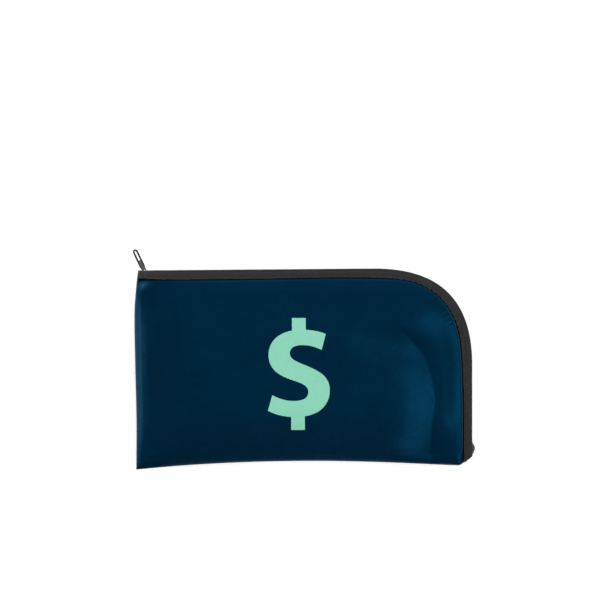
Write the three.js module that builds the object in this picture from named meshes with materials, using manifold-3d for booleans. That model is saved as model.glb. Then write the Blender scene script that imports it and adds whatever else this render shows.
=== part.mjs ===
// Cash deposit bag: a flat vinyl pouch lying on its back, opened by a coil zipper that runs along
// the top edge, round one big corner and down the right side.
// Millimetres. +X is to the right along the top edge, +Y is from the bottom seam to the zipper,
// +Z is out of the printed face. The origin is the middle of the flat the bag rests on.
import * as THREE from "three";
import { mergeVertices } from "three/addons/utils/BufferGeometryUtils.js";
import Module from "manifold-3d";

const wasm = await Module();
wasm.setup();

// ---- Driving dimensions ----

const SEAM_Z = 12; // height of the plane in which the front and the back meet
const GAP = 0.3; // kept between pieces that touch
const VINYL = 0.8; // thickness of a panel
const TAPE = 0.5; // thickness of the woven zipper tape
const ZIP_LIP = 5.7; // seam plane to a panel's outer face where it ends beside the zipper
const SEAM_LIP = 1.6; // the same beside the turned seams
const FRONT_RISE = 10; // how far the front swells beyond its lips
const BACK_DROP = 7.2; // how far the back would swell, before the table flattens it
const ZIP_SLOPE_WIDTH = 60; // width of the swelling flank along the zipper
const SEAM_SLOPE_WIDTH = 50; // and along the turned seams
const EDGE_INSET = 1.5; // a panel stops this far inside the crest of the tape
const ALLOWANCE = 8; // seam allowance turned to the inside
const BAND = 6.3; // width of the tape that shows on each face
const CHAIN_DEPTH = 5.3; // the chain lies this far below the crest
const CHAIN_KICK = 7; // how far the chain climbs back out at its lower end
const CHAIN_KICK_Y = -67; // where that is
const CHAIN_KICK_SPAN = 25;
const COIL_Y = 0.9; // half sizes of one coil's section, across and along the bag's thickness
const COIL_Z = 0.82;
const COIL_CENTRE_Z = 1.52;
const THREAD = 0.22; // radius of a sewing thread
const STITCH_INSET = 4.9; // stitching line on the tape, in from the crest
const INK = 0.25; // thickness of the printed sign
const PULL_LEAN = THREE.MathUtils.degToRad(25.6); // the pull tab leans over the bag's end
const PULL_TWIST = THREE.MathUtils.degToRad(30); // and has turned a little on the bridge

// ---- Outline of the bag ----

const ZIP_START = new THREE.Vector2(-136.9, 80.16);
const CORNER_START = new THREE.Vector2(57.8, 81.72);
const CORNER_END = new THREE.Vector2(139.5, 2.72);
const ZIP_END = new THREE.Vector2(139.5, -74.4);
const CORNER_REACH = [57.66, 50.37]; // Bezier handles of the corner
const BOTTOM_LEFT = new THREE.Vector2(-138.2, -84.6);
const BEVEL_START = new THREE.Vector2(129.5, -81.3);

const topDirection = CORNER_START.clone().sub(ZIP_START).normalize();
const zipLine = new THREE.CurvePath();
zipLine.add(new THREE.LineCurve(ZIP_START, CORNER_START));
zipLine.add(
  new THREE.CubicBezierCurve(
    CORNER_START,
    CORNER_START.clone().addScaledVector(topDirection, CORNER_REACH[0]),
    CORNER_END.clone().add(new THREE.Vector2(0, CORNER_REACH[1])),
    CORNER_END,
  ),
);
zipLine.add(new THREE.LineCurve(CORNER_END, ZIP_END));
const ZIP_LENGTH = zipLine.getLength();
const TOP_LENGTH = zipLine.curves[0].getLength();
const CORNER_LENGTH = zipLine.curves[1].getLength();
const CORNER_MIDDLE = TOP_LENGTH + CORNER_LENGTH / 2;

// The point at length s along the crest of the zipper's lips, offset by n to the outside.
function besideZip(s, n) {
  const t = THREE.MathUtils.clamp(s / ZIP_LENGTH, 0, 1);
  const along = zipLine.getTangent(t);
  return zipLine.getPoint(t).add(new THREE.Vector2(-along.y * n, along.x * n));
}

const leftEdge = new THREE.SplineCurve([
  BOTTOM_LEFT,
  new THREE.Vector2(-138, -45),
  new THREE.Vector2(-139, 0),
  new THREE.Vector2(-139.7, 40),
  new THREE.Vector2(-138.8, 60),
  besideZip(0, -EDGE_INSET),
]);
const bottomEdge = new THREE.CurvePath();
bottomEdge.add(
  new THREE.SplineCurve([
    BOTTOM_LEFT,
    new THREE.Vector2(-95.5, -80.9),
    new THREE.Vector2(-42, -78.2),
    new THREE.Vector2(11, -77.4),
    new THREE.Vector2(64, -78.4),
    BEVEL_START,
  ]),
);
bottomEdge.add(new THREE.LineCurve(BEVEL_START, besideZip(ZIP_LENGTH, -EDGE_INSET)));

// ---- Small helpers ----

const smooth = (x) => THREE.MathUtils.smoothstep(x, 0, 1);
const mix = THREE.MathUtils.lerp;
const at = (p, z) => new THREE.Vector3(p.x, p.y, z);

function distanceTo(line) {
  return (x, y) => {
    let best = Infinity;
    for (let i = 1; i < line.length; i++) {
      const a = line[i - 1];
      const b = line[i];
      const along = ((x - a.x) * (b.x - a.x) + (y - a.y) * (b.y - a.y)) / a.distanceToSquared(b);
      const t = THREE.MathUtils.clamp(along, 0, 1);
      best = Math.min(best, Math.hypot(mix(a.x, b.x, t) - x, mix(a.y, b.y, t) - y));
    }
    return best;
  };
}

const toZip = distanceTo(zipLine.getSpacedPoints(160));
const toLeft = distanceTo(leftEdge.getSpacedPoints(30));
const toBottom = distanceTo(bottomEdge.getSpacedPoints(80));

function volumeOf(positions, index) {
  const [a, b, c] = [new THREE.Vector3(), new THREE.Vector3(), new THREE.Vector3()];
  let sum = 0;
  for (let i = 0; i < index.length; i += 3) {
    a.copy(positions[index[i]]);
    b.copy(positions[index[i + 1]]);
    c.copy(positions[index[i + 2]]);
    sum += a.dot(b.cross(c));
  }
  return sum;
}

function closedGeometry(positions, index) {
  const outward = volumeOf(positions, index) > 0;
  const faces = outward ? index : index.slice().reverse();
  const geometry = new THREE.BufferGeometry().setFromPoints(positions);
  geometry.setIndex(faces);
  return geometry;
}

// A closed sheet between two grids of points that lie over each other.
function sheetBetween(outer, inner) {
  const rows = outer.length;
  const columns = outer[0].length;
  const size = rows * columns;
  const id = (i, j, side) => i * columns + j + side * size;
  const index = [];
  const quad = (a, b, c, d) => index.push(a, b, c, a, c, d);
  for (let i = 1; i < rows; i++) {
    for (let j = 1; j < columns; j++) {
      quad(id(i - 1, j - 1, 0), id(i, j - 1, 0), id(i, j, 0), id(i - 1, j, 0));
      quad(id(i - 1, j - 1, 1), id(i - 1, j, 1), id(i, j, 1), id(i, j - 1, 1));
    }
  }
  for (let i = 1; i < rows; i++) {
    quad(id(i - 1, 0, 0), id(i - 1, 0, 1), id(i, 0, 1), id(i, 0, 0));
    const j = columns - 1;
    quad(id(i, j, 0), id(i, j, 1), id(i - 1, j, 1), id(i - 1, j, 0));
  }
  for (let j = 1; j < columns; j++) {
    quad(id(0, j, 0), id(0, j, 1), id(0, j - 1, 1), id(0, j - 1, 0));
    const i = rows - 1;
    quad(id(i, j - 1, 0), id(i, j - 1, 1), id(i, j, 1), id(i, j, 0));
  }
  return closedGeometry([...outer.flat(), ...inner.flat()], index);
}

// A closed bar through a row of convex rings.
function barThrough(rings) {
  const sides = rings[0].length;
  const index = [];
  for (let i = 1; i < rings.length; i++) {
    for (let j = 0; j < sides; j++) {
      const k = (j + 1) % sides;
      const a = (i - 1) * sides;
      const b = i * sides;
      index.push(a + j, b + j, b + k, a + j, b + k, a + k);
    }
  }
  const last = (rings.length - 1) * sides;
  for (let j = 2; j < sides; j++) {
    index.push(0, j - 1, j, last, last + j, last + j - 1);
  }
  return closedGeometry(rings.flat(), index);
}

function solid(geometry) {
  const bare = geometry.index ? geometry.clone() : mergeVertices(geometry.clone());
  bare.deleteAttribute("normal");
  bare.deleteAttribute("uv");
  const merged = mergeVertices(bare, 1e-4);
  return new wasm.Manifold(
    new wasm.Mesh({
      numProp: 3,
      vertProperties: merged.attributes.position.array,
      triVerts: new Uint32Array(merged.index.array),
    }),
  );
}

function geometryOf(manifold) {
  const mesh = manifold.getMesh();
  const geometry = new THREE.BufferGeometry();
  geometry.setAttribute("position", new THREE.BufferAttribute(mesh.vertProperties, 3));
  geometry.setIndex(new THREE.BufferAttribute(mesh.triVerts, 1));
  return geometry;
}

function box(x0, x1, y0, y1, z0, z1) {
  const geometry = new THREE.BoxGeometry(x1 - x0, y1 - y0, z1 - z0);
  return solid(geometry.translate((x0 + x1) / 2, (y0 + y1) / 2, (z0 + z1) / 2));
}

// A plan outline, extruded along Z.
function prism(shape, z0, z1, curveSegments = 6) {
  const settings = { depth: z1 - z0, bevelEnabled: false, curveSegments };
  return new THREE.ExtrudeGeometry(shape, settings).translate(0, 0, z0);
}

// ---- The swelling of the two panels ----

function flank(distance, width) {
  return 1 - (1 - THREE.MathUtils.clamp(distance / width, 0, 1)) ** 2;
}

// Height of a panel's outer face above the seam plane at a place in plan.
function swell(x, y, rise) {
  const zip = toZip(x, y);
  const left = toLeft(x, y);
  const bottom = toBottom(x, y);
  const seam = Math.min(left, bottom);
  const nearZip = 1 - smooth((zip - 6) / 28);
  const noseDepth = mix(2.4, 1.1, nearZip);
  const nose = Math.sqrt(1 - (1 - Math.min(seam / noseDepth, 1)) ** 2);
  const opened = 1 - (1 - flank(seam, 45)) * (1 - nearZip * nose);
  const lip = SEAM_LIP * nose + (ZIP_LIP - GAP / 2 - SEAM_LIP) * opened;
  const flanks =
    flank(zip - EDGE_INSET, ZIP_SLOPE_WIDTH) *
    flank(left, SEAM_SLOPE_WIDTH) *
    flank(bottom, SEAM_SLOPE_WIDTH);
  return GAP / 2 + lip + rise * flanks;
}

const frontZ = (x, y) => SEAM_Z + swell(x, y, FRONT_RISE);
const backZ = (x, y) => Math.max(0, SEAM_Z - swell(x, y, BACK_DROP));

// Shares of the way across and up a panel at which its grid lines lie: close together in the
// turned edges, wide apart in the middle.
const ACROSS = [
  0, 0.0006, 0.002, 0.0045, 0.009, 0.018, 0.036, 0.062, 0.1, 0.15, 0.21, 0.28, 0.36, 0.44, 0.52,
  0.6, 0.67, 0.735, 0.79, 0.835, 0.875, 0.91, 0.94, 0.965, 0.985, 1,
];
const UP = [
  0, 0.001, 0.0035, 0.0075, 0.015, 0.032, 0.065, 0.12, 0.19, 0.27, 0.36, 0.45, 0.54, 0.62, 0.69,
  0.76, 0.82, 0.88, 0.93, 0.97, 1,
];

// The point of a panel's plan at shares u and v, blended between its four sides; the fourth
// corner of the patch is the middle of the big round corner.
function planPoint(u, v) {
  const bottom = bottomEdge.getPoint(u);
  const top = besideZip(u * CORNER_MIDDLE, -EDGE_INSET);
  const left = leftEdge.getPointAt(v);
  const right = besideZip(mix(ZIP_LENGTH, CORNER_MIDDLE, v), -EDGE_INSET);
  const a = bottomEdge.getPoint(0).multiplyScalar((1 - u) * (1 - v));
  const b = bottomEdge.getPoint(1).multiplyScalar(u * (1 - v));
  const c = besideZip(0, -EDGE_INSET).multiplyScalar((1 - u) * v);
  const d = besideZip(CORNER_MIDDLE, -EDGE_INSET).multiplyScalar(u * v);
  const blend = bottom.multiplyScalar(1 - v).add(top.multiplyScalar(v));
  blend.add(left.multiplyScalar(1 - u)).add(right.multiplyScalar(u));
  return blend.sub(a).sub(b).sub(c).sub(d);
}

const plan = ACROSS.map((u) => UP.map((v) => planPoint(u, v)));
const raised = (height) => plan.map((row) => row.map((p) => at(p, height(p.x, p.y))));

// The grid moved by the panel's thickness to the inside. Where the panel turns into a seam the
// move is level, so that it ends flat on the seam plane.
function thickened(outer, up) {
  const rows = outer.length - 1;
  const columns = outer[0].length - 1;
  return outer.map((row, i) =>
    row.map((p, j) => {
      const along = outer[Math.min(i + 1, rows)][j].clone().sub(outer[Math.max(i - 1, 0)][j]);
      const over = row[Math.min(j + 1, columns)].clone().sub(row[Math.max(j - 1, 0)]);
      const normal = along.cross(over).multiplyScalar(up);
      if (i === 0 || j === 0) normal.z = 0;
      return p.clone().addScaledVector(normal.normalize(), -VINYL);
    }),
  );
}

// The strip of vinyl turned inside along an edge and lying on the seam plane.
function allowance(edge, from, to, side, up) {
  const near = SEAM_Z + (up * GAP) / 2;
  const far = near + up * VINYL;
  const stations = Array.from({ length: 13 }, (_, i) => mix(from, to, i / 12));
  const row = (height) =>
    stations.map((t) => {
      const along = edge.getTangent(t);
      const inward = new THREE.Vector2(-along.y, along.x).multiplyScalar(side);
      const p = edge.getPoint(t);
      return [0.4, ALLOWANCE].map((d) => at(p.clone().addScaledVector(inward, d), height));
    });
  return solid(sheetBetween(row(near), row(far)));
}

function panel(height, up) {
  const outer = raised(height);
  return geometryOf(
    solid(sheetBetween(outer, thickened(outer, up)))
      .add(allowance(leftEdge, 0.05, 0.9, -1, up))
      .add(allowance(bottomEdge, 0.03, 0.93, 1, up)),
  );
}

// ---- The zipper ----

// How far the chain has climbed out of its valley, 0 to 1, at length s.
function kick(s) {
  const y = besideZip(s, 0).y;
  const away = (s > TOP_LENGTH ? y - CHAIN_KICK_Y : CHAIN_KICK_SPAN) / CHAIN_KICK_SPAN;
  return Math.abs(away) < 0.5 ? Math.cos(Math.PI * away) ** 2 : 0;
}

const chainN = (s) => -CHAIN_DEPTH + CHAIN_KICK * kick(s);

const LEFT_STATIONS = [1.5, 3, 8, 16, 28, 45, 70, 110, 155];
const CORNER_STATIONS = Array.from({ length: 16 }, (_, i) => TOP_LENGTH + (CORNER_LENGTH * i) / 15);
const KICK_START = ZIP_LENGTH + ZIP_END.y - CHAIN_KICK_Y - CHAIN_KICK_SPAN / 2;

function stationsTo(end) {
  const straight = [KICK_START - 24];
  const steps = Math.round((end - KICK_START) / 1.8);
  const last = Array.from({ length: steps + 1 }, (_, i) => mix(KICK_START, end, i / steps));
  return [...LEFT_STATIONS, ...CORNER_STATIONS, ...straight, ...last];
}

// Middle line of the tape from the coil to the crest, as distances out from the crest and up
// from the seam plane: deep in its valley, and climbed out at the lower end.
const SUNKEN = [
  [-5.3, 2.65],
  [-5.3, 3.6],
  [-5.15, 4.05],
  [-4.7, 4.3],
  [-1.25, 4.3],
  [-0.54, 4.59],
  [-0.25, 5.3],
  [-0.54, 6.01],
];
const CLIMBED = [
  [1.7, 2.65],
  [1.7, 3.3],
  [1.6, 3.9],
  [1.3, 4.4],
  [0.8, 4.85],
  [0.35, 5.2],
  [-0.05, 5.6],
  [-0.6, 6.05],
];
const BAND_AT = [-1.5, -3, -4.6, -BAND];

// One tape half. Its end at the bottom right is cut along the bag's bevelled corner.
function tapeHalf(up) {
  const end = ZIP_LENGTH - 2.5;
  const cut = 0.76;
  const outer = [];
  const inner = [];
  for (const s of stationsTo(end)) {
    const k = kick(s);
    const line = SUNKEN.map(([n, z], i) => [mix(n, CLIMBED[i][0], k), mix(z, CLIMBED[i][1], k)]);
    for (const n of BAND_AT) {
      const p = besideZip(s, n);
      line.push([n, swell(p.x, p.y, up > 0 ? FRONT_RISE : BACK_DROP) + GAP + 0.05 + TAPE / 2]);
    }
    const place = ([n, z], shift) => {
      const before = line[Math.max(shift - 1, 0)];
      const after = line[Math.min(shift + 1, line.length - 1)];
      const across = new THREE.Vector2(after[1] - before[1], before[0] - after[0]).normalize();
      return [-1, 1].map((side) => {
        const nn = n + (side * across.x * TAPE) / 2;
        const zz = z + (side * across.y * TAPE) / 2;
        const reach = s >= end ? -Math.min(nn, 0) * cut : 0;
        const p = besideZip(s, nn);
        p.y -= reach;
        return at(p, SEAM_Z + up * zz);
      });
    };
    const pairs = line.map(place);
    outer.push(pairs.map((pair) => pair[0]));
    inner.push(pairs.map((pair) => pair[1]));
  }
  return sheetBetween(outer, inner);
}

function ringAround(s, n, z, halfN, halfZ, sides, power) {
  return Array.from({ length: sides }, (_, i) => {
    const turn = (2 * Math.PI * (i + 0.5)) / sides;
    const c = Math.cos(turn);
    const d = Math.sin(turn);
    const p = besideZip(s, n + halfN * Math.sign(c) * Math.abs(c) ** power);
    return at(p, SEAM_Z + z + halfZ * Math.sign(d) * Math.abs(d) ** power);
  });
}

const COIL_START = 2.7;
const COIL_END = ZIP_LENGTH - 4.9;

function coil(up) {
  const stations = [COIL_START, ...stationsTo(COIL_END).slice(2)];
  return barThrough(
    stations.map((s) => ringAround(s, chainN(s), up * COIL_CENTRE_Z, COIL_Y, COIL_Z, 8, 0.7)),
  );
}

// A crimped stop on the first turns of one coil.
function topStop(up) {
  return barThrough(
    [1.6, 2.4].map((s) =>
      ringAround(s, -CHAIN_DEPTH, up * COIL_CENTRE_Z, COIL_Y + 0.15, COIL_Z, 8, 0.5),
    ),
  );
}

// The stop across both coils at the lower end.
function bottomStop() {
  return barThrough(
    [COIL_END + 0.3, COIL_END + 2.1].map((s) => ringAround(s, chainN(s), 0, 1.15, 2.4, 12, 0.5)),
  );
}

// Sewing thread along the tape's band.
function bandStitching(up) {
  const rise = up > 0 ? FRONT_RISE : BACK_DROP;
  const stations = stationsTo(ZIP_LENGTH - 1).map((s) => Math.min(s, ZIP_LENGTH - 1));
  const clear = GAP + 0.05 + TAPE + GAP + THREAD;
  return barThrough(
    stations.map((s) => {
      const p = besideZip(s, -STITCH_INSET);
      const z = swell(p.x, p.y, rise) + clear;
      return ringAround(s, -STITCH_INSET, up * z, THREAD, THREAD, 4, 1);
    }),
  );
}

// Sewing thread along a turned seam, on the upper allowance.
function seamThread(edge, from, to, side) {
  const z = SEAM_Z + GAP / 2 + VINYL + GAP + THREAD;
  const count = 24;
  const rings = Array.from({ length: count + 1 }, (_, i) => {
    const t = mix(from, to, i / count);
    const along = edge.getTangent(t);
    const inward = new THREE.Vector2(-along.y, along.x).multiplyScalar(side);
    const p = edge.getPoint(t).addScaledVector(inward, ALLOWANCE - 2);
    return [0, 1, 2, 3].map((k) => {
      const turn = (Math.PI / 2) * k;
      const q = p.clone().addScaledVector(inward, THREAD * Math.cos(turn));
      return at(q, z + THREAD * Math.sin(turn));
    });
  });
  return barThrough(rings);
}

// ---- Slider and pull tab: x along the chain, y out of the bag, z across the chain ----

const SLIDER_S = 7.1; // where the slider stands, as a length along the zipper
const SLIDER_HALF = 4.5;
const SLIDER_WIDTH = 3.6;
const PLATE_IN = 1.2;
const PLATE_OUT = 2.1;
const BRIDGE_HALF = 0.7;
const BRIDGE_IN = 4.3;
const BRIDGE_OUT = 5.1;
const PIVOT_UP = 3.5;
const PIVOT_BACK = -0.9;
const topAngle = topDirection.angle();

function onChain(geometry) {
  const centre = besideZip(SLIDER_S, -CHAIN_DEPTH);
  return geometry.rotateZ(topAngle).translate(centre.x, centre.y, SEAM_Z);
}

function sliderPlate(y0, y1) {
  const w = SLIDER_WIDTH;
  const shape = new THREE.Shape();
  shape.moveTo(-SLIDER_HALF + 1.2, -w);
  shape.lineTo(SLIDER_HALF - 1, -w + 0.3);
  shape.quadraticCurveTo(SLIDER_HALF, -w + 0.4, SLIDER_HALF, -w + 1.6);
  shape.lineTo(SLIDER_HALF, w - 1.6);
  shape.quadraticCurveTo(SLIDER_HALF, w - 0.4, SLIDER_HALF - 1, w - 0.3);
  shape.lineTo(-SLIDER_HALF + 1.2, w);
  shape.quadraticCurveTo(-SLIDER_HALF, w, -SLIDER_HALF, w - 1.4);
  shape.lineTo(-SLIDER_HALF + 0.5, 0);
  shape.lineTo(-SLIDER_HALF, -w + 1.4);
  shape.quadraticCurveTo(-SLIDER_HALF, -w, -SLIDER_HALF + 1.2, -w);
  return solid(prism(shape, 0, y1 - y0, 4).rotateX(-Math.PI / 2).translate(0, y0, 0));
}

function sliderBody() {
  const sets = [sliderPlate(PLATE_IN, PLATE_OUT), sliderPlate(-PLATE_OUT, -PLATE_IN)];
  for (const side of [-1, 1]) {
    const z0 = Math.min(side * 2.75, side * 3.3);
    sets.push(box(-3.9, 3.9, 0.6, PLATE_IN + 0.3, z0, z0 + 0.55));
    sets.push(box(-3.9, 3.9, -PLATE_IN - 0.3, -0.6, z0, z0 + 0.55));
  }
  sets.push(box(-3.8, -2.2, -PLATE_IN - 0.3, PLATE_IN + 0.3, -0.38, 0.38));
  const arch = new THREE.Shape();
  arch.moveTo(-3.6, PLATE_OUT - 0.3);
  arch.lineTo(-3.6, BRIDGE_OUT - 1.6);
  arch.quadraticCurveTo(-3.5, BRIDGE_OUT, -2, BRIDGE_OUT);
  arch.lineTo(2, BRIDGE_OUT);
  arch.quadraticCurveTo(3.5, BRIDGE_OUT, 3.6, BRIDGE_OUT - 1.6);
  arch.lineTo(3.6, PLATE_OUT - 0.3);
  arch.lineTo(2.6, PLATE_OUT - 0.3);
  arch.lineTo(2.6, BRIDGE_IN - 0.8);
  arch.quadraticCurveTo(2.6, BRIDGE_IN, 1.8, BRIDGE_IN);
  arch.lineTo(-1.8, BRIDGE_IN);
  arch.quadraticCurveTo(-2.6, BRIDGE_IN, -2.6, BRIDGE_IN - 0.8);
  arch.lineTo(-2.6, PLATE_OUT - 0.3);
  sets.push(solid(prism(arch, -BRIDGE_HALF, BRIDGE_HALF, 5)));
  const whole = sets.reduce((a, b) => a.add(b));
  return onChain(geometryOf(whole));
}

const PULL_LENGTH = 21.3; // pivot to tip
const PULL_HALF = 3.2; // half width
const PULL_THICK = 1;

// An upright hole of the given half width from y0 to y1, with rounded corners.
function roundedHole(halfWidth, y0, y1, radius) {
  const w = halfWidth - radius;
  const hole = new THREE.Path();
  hole.absarc(w, y1 - radius, radius, 0, Math.PI / 2, false);
  hole.absarc(-w, y1 - radius, radius, Math.PI / 2, Math.PI, false);
  hole.absarc(-w, y0 + radius, radius, Math.PI, 1.5 * Math.PI, false);
  hole.absarc(w, y0 + radius, radius, 1.5 * Math.PI, 2 * Math.PI, false);
  return hole;
}

// The tab, drawn upright from its pivot: an eye for the bridge, a recessed web, a long slot.
function pullTab() {
  const eye = 2.6;
  const shape = new THREE.Shape();
  shape.moveTo(-1.1, -PULL_THICK / 2);
  shape.lineTo(1.1, -PULL_THICK / 2);
  shape.quadraticCurveTo(eye - 0.3, -0.3, eye, 1.3);
  shape.lineTo(eye, 3.4);
  shape.quadraticCurveTo(eye, 4.6, PULL_HALF, 5.6);
  shape.lineTo(PULL_HALF, PULL_LENGTH - PULL_HALF);
  shape.absarc(0, PULL_LENGTH - PULL_HALF, PULL_HALF, 0, Math.PI, false);
  shape.lineTo(-PULL_HALF, 5.6);
  shape.quadraticCurveTo(-eye, 4.6, -eye, 3.4);
  shape.lineTo(-eye, 1.3);
  shape.quadraticCurveTo(-eye + 0.3, -0.3, -1.1, -PULL_THICK / 2);
  shape.holes.push(roundedHole(1.7, 0.22, 4.1, 0.4));
  shape.holes.push(roundedHole(1.95, 12.6, 20, 1.95));
  const half = PULL_THICK / 2;
  const pocket = new THREE.Shape(roundedHole(1.95, 5.4, 11.9, 1.2).getPoints(6));
  const recess = 0.3;
  const front = solid(prism(pocket, half - recess, half + 1));
  const back = solid(prism(pocket, -half - 1, -half + recess));
  const plate = solid(prism(shape, -half, half, 7)).subtract(front).subtract(back);
  const geometry = geometryOf(plate);
  geometry.rotateY(Math.PI / 2 - PULL_TWIST).rotateZ(PULL_LEAN - topAngle);
  return onChain(geometry.translate(PIVOT_BACK, PIVOT_UP, 0));
}

// ---- The printed sign: a plain currency sign, drawn with its own curves ----

function barShape(x0, x1, y0, y1) {
  const corners = [
    [x0, y0],
    [x1, y0],
    [x1, y1],
    [x0, y1],
  ];
  return new THREE.Shape(corners.map(([x, y]) => new THREE.Vector2(x, y)));
}

function signShape() {
  const s = new THREE.Shape();
  s.moveTo(18.5, 27.8);
  s.bezierCurveTo(12.5, 30.2, 5.5, 31.3, -1, 31.3);
  s.bezierCurveTo(-17.5, 31.3, -28.6, 23.5, -28.6, 10.4);
  s.bezierCurveTo(-28.6, 0.5, -22.5, -5, -12.5, -8.9);
  s.bezierCurveTo(-4, -12.2, 4.2, -13.5, 4.2, -19.9);
  s.bezierCurveTo(4.2, -25, -0.5, -27.4, -8, -27.4);
  s.bezierCurveTo(-14, -27.4, -19.8, -25.6, -25.5, -22.6);
  s.lineTo(-29.1, -35.4);
  s.bezierCurveTo(-23, -38.8, -15, -40.6, -6.5, -40.6);
  s.bezierCurveTo(11.5, -40.6, 21.8, -32, 21.8, -18.5);
  s.bezierCurveTo(21.8, -9, 16, -4.2, 5.5, 0.4);
  s.bezierCurveTo(-4.5, 4.7, -11.1, 6.5, -11.1, 11.9);
  s.bezierCurveTo(-11.1, 16.2, -7.3, 18.6, -0.8, 18.6);
  s.bezierCurveTo(5, 18.6, 10.2, 17.2, 15.1, 14.6);
  s.lineTo(18.5, 27.8);
  return s;
}

function printedSign() {
  const film = solid(
    sheetBetween(
      raised((x, y) => frontZ(x, y) + 0.2 + INK),
      raised((x, y) => frontZ(x, y) + 0.2),
    ),
  );
  const flat = [signShape(), barShape(-9.3, 2, 29, 40.9), barShape(-10, 1.3, -51.3, -38)];
  const cutter = flat.map((shape) => solid(prism(shape, 0, 60))).reduce((a, b) => a.add(b));
  return geometryOf(film.intersect(cutter));
}

// ---- The object ----

const materials = {
  vinyl: new THREE.MeshStandardMaterial({ color: 0x012339, roughness: 0.45 }),
  tape: new THREE.MeshStandardMaterial({ color: 0x303030, roughness: 0.9 }),
  coil: new THREE.MeshStandardMaterial({ color: 0x1c1c1c, roughness: 0.5 }),
  thread: new THREE.MeshStandardMaterial({ color: 0x202020, roughness: 0.8 }),
  metal: new THREE.MeshStandardMaterial({ color: 0x3a3a3a, roughness: 0.35, metalness: 1 }),
  ink: new THREE.MeshStandardMaterial({ color: 0x8dd5bc, roughness: 0.6 }),
};

const bag = new THREE.Group();

function addPiece(name, geometry, material) {
  const mesh = new THREE.Mesh(geometry, materials[material]);
  mesh.name = name;
  bag.add(mesh);
}

addPiece("front_panel", panel(frontZ, 1), "vinyl");
addPiece("back_panel", panel(backZ, -1), "vinyl");
addPiece("printed_sign", printedSign(), "ink");
addPiece("front_tape", tapeHalf(1), "tape");
addPiece("back_tape", tapeHalf(-1), "tape");
addPiece("front_coil", coil(1), "coil");
addPiece("back_coil", coil(-1), "coil");
addPiece("front_top_stop", topStop(1), "metal");
addPiece("back_top_stop", topStop(-1), "metal");
addPiece("bottom_stop", bottomStop(), "metal");
addPiece("slider_body", sliderBody(), "metal");
addPiece("pull_tab", pullTab(), "metal");
addPiece("front_tape_stitching", bandStitching(1), "thread");
addPiece("back_tape_stitching", bandStitching(-1), "thread");
addPiece("left_seam_thread", seamThread(leftEdge, 0.06, 0.86, -1), "thread");
addPiece("bottom_seam_thread", seamThread(bottomEdge, 0.04, 0.9, 1), "thread");

export default bag;
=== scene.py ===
# Cash deposit bag: the looks of a curved-zipper vinyl pouch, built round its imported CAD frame.
# Shapes are worked out in millimetres in the part's own frame (+X right along the top edge, +Y from
# the bottom seam to the zipper, +Z out of the printed face) and written to the meshes in metres.
import math

import bpy
import numpy as np
from mathutils import Matrix, Vector


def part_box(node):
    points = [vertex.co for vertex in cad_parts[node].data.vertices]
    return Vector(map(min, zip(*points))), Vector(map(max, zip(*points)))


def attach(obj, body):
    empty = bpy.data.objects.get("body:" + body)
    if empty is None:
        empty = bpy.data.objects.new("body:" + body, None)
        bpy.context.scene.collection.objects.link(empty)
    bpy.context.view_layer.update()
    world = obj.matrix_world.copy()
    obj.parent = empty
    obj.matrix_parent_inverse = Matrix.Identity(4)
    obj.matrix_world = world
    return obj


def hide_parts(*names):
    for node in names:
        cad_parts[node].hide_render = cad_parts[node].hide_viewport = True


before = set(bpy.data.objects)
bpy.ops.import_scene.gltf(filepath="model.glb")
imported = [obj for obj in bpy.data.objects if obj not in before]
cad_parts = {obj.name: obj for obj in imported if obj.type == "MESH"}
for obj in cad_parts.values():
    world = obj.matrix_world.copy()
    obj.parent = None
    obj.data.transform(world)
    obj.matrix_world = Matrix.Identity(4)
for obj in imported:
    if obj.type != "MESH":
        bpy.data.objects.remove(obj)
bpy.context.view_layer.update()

MM = 0.001

# ---- Camera: straight down on the printed face ----

FOCAL_LENGTH = 200.0
SENSOR = 36.0
VIEW_WIDTH = 0.4958  # width of the view at the height of the bag's outline
VIEW_CENTRE = (-0.0027, 0.0557)
OUTLINE_HEIGHT = 0.015


def make_camera():
    data = bpy.data.cameras.new("camera")
    data.lens = FOCAL_LENGTH
    data.sensor_width = SENSOR
    data.clip_end = 100
    camera = bpy.data.objects.new("camera", data)
    height = VIEW_WIDTH * FOCAL_LENGTH / SENSOR + OUTLINE_HEIGHT
    camera.location = (*VIEW_CENTRE, height)
    bpy.context.scene.collection.objects.link(camera)
    bpy.context.scene.camera = camera


make_camera()

# ---- Dimensions shared with the CAD model ----

low, high = (np.array(corner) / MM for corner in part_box("slider_body"))
SEAM_Z = (low[2] + high[2]) / 2  # the slider stands astride the plane of the seams
GAP = 0.12  # left between the front and the back along a seam
VINYL = 0.8  # thickness of a panel
TAPE = 0.5  # thickness of the tape
ZIP_LIP = 5.7  # height of the zipper's lips over the plane of the seams
SEAM_LIP = 1.6  # height of the sewn edges
LIP_FLAT = 6.0  # the lips keep their height this far from the zipper
LIP_FADE = 28.0  # and lose it over this distance
NOSE_DEPTH = 2.4  # how far in the sewn edges are rounded
NOSE_DEPTH_AT_ZIP = 1.1
OPENING_WIDTH = 45.0  # the panels part to the height of the lips over this distance
FRONT_RISE = 10.0
BACK_DROP = 7.2
ZIP_SLOPE_WIDTH = 60.0
SEAM_SLOPE_WIDTH = 50.0
EDGE_INSET = 1.5  # from the crest of the zipper's lips to the edge of a panel
CHAIN_DEPTH = 5.3  # the chain runs this far inside the crest
CHAIN_KICK = 7.0  # and climbs this far out at its lower end
CHAIN_KICK_Y = -67.0
CHAIN_KICK_SPAN = 25.0
STITCH_INSET = 4.9

# ---- Lines in plan ----


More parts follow.
